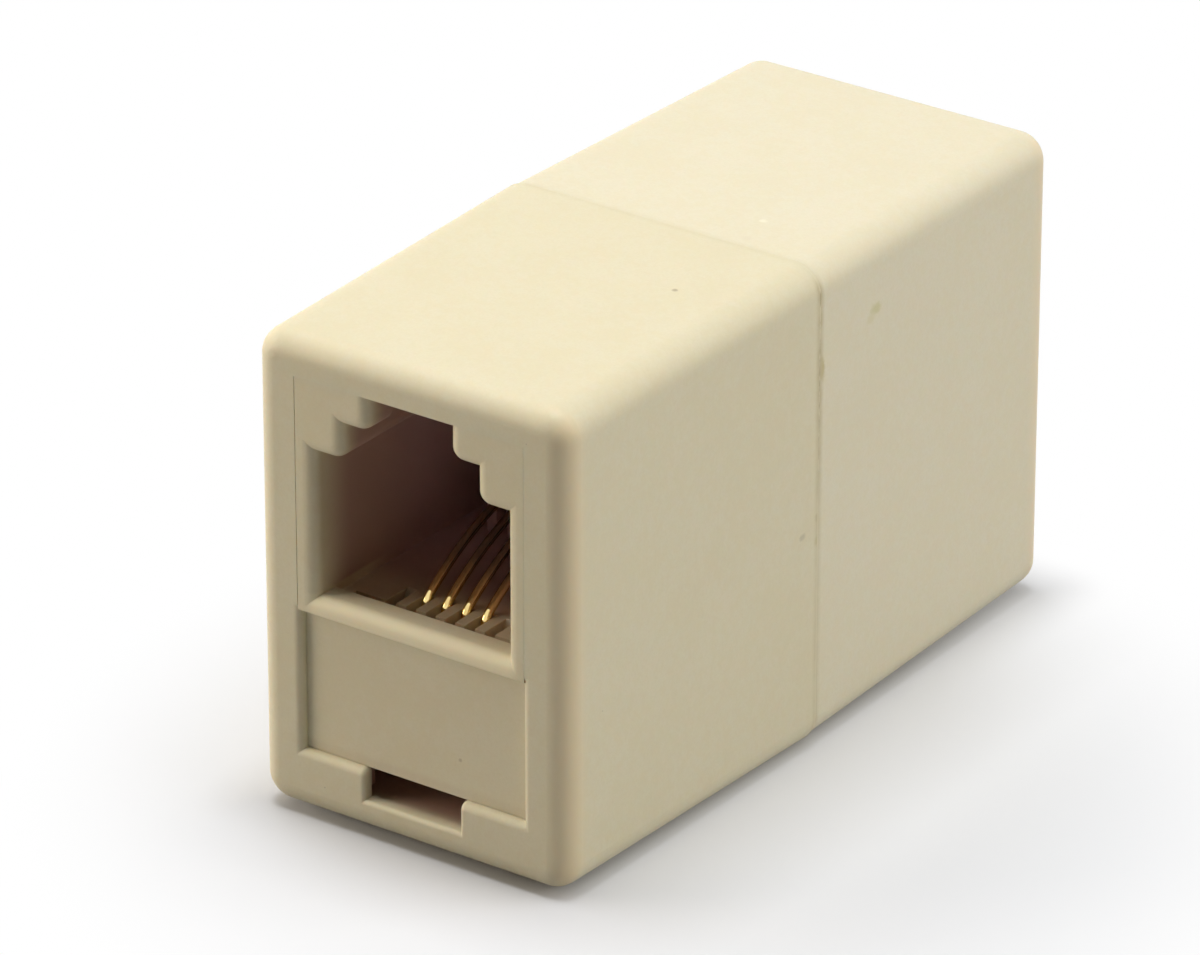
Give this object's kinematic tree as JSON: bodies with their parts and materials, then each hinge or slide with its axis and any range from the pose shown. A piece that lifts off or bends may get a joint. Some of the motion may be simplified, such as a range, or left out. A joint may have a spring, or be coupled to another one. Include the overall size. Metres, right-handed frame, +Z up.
{
  "type": "telephone modular coupler",
  "caption": "Ivory in-line telephone coupler: two moulded half housings joined at a seam, with a modular socket and gold spring contacts at each end.",
  "frame": {"origin": "below the middle of the length and width, on the lowest line, which is the seam's underside", "axes": "+Y along the length from the front socket to the rear one, +X across the width, +Z up, with each socket's latch key on the upper side"},
  "size_m": [0.0166, 0.0364, 0.0225],
  "materials": {
    "housing_plastic": "smooth satin ivory moulding",
    "insert_plastic": "smooth satin ivory moulding",
    "gold_plate": "bright gold plate on spring wire",
    "tinned_brass": "dull tin plate",
    "lead_black": "smooth insulation",
    "lead_red": "smooth insulation",
    "lead_green": "smooth insulation",
    "lead_yellow": "smooth insulation"
  },
  "bodies": {
    "root": {"front_housing": "housing_plastic", "front_insert": "insert_plastic", "front_contact_1": "gold_plate", "front_crimp_1": "tinned_brass", "front_contact_2": "gold_plate", "front_crimp_2": "tinned_brass", "front_contact_3": "gold_plate", "front_crimp_3": "tinned_brass", "front_contact_4": "gold_plate", "front_crimp_4": "tinned_brass", "rear_housing": "housing_plastic", "rear_insert": "insert_plastic", "rear_contact_1": "gold_plate", "rear_crimp_1": "tinned_brass", "rear_contact_2": "gold_plate", "rear_crimp_2": "tinned_brass", "rear_contact_3": "gold_plate", "rear_crimp_3": "tinned_brass", "rear_contact_4": "gold_plate", "rear_crimp_4": "tinned_brass", "lead_black": "lead_black", "lead_red": "lead_red", "lead_green": "lead_green", "lead_yellow": "lead_yellow"}
  },
  "joints": []
}
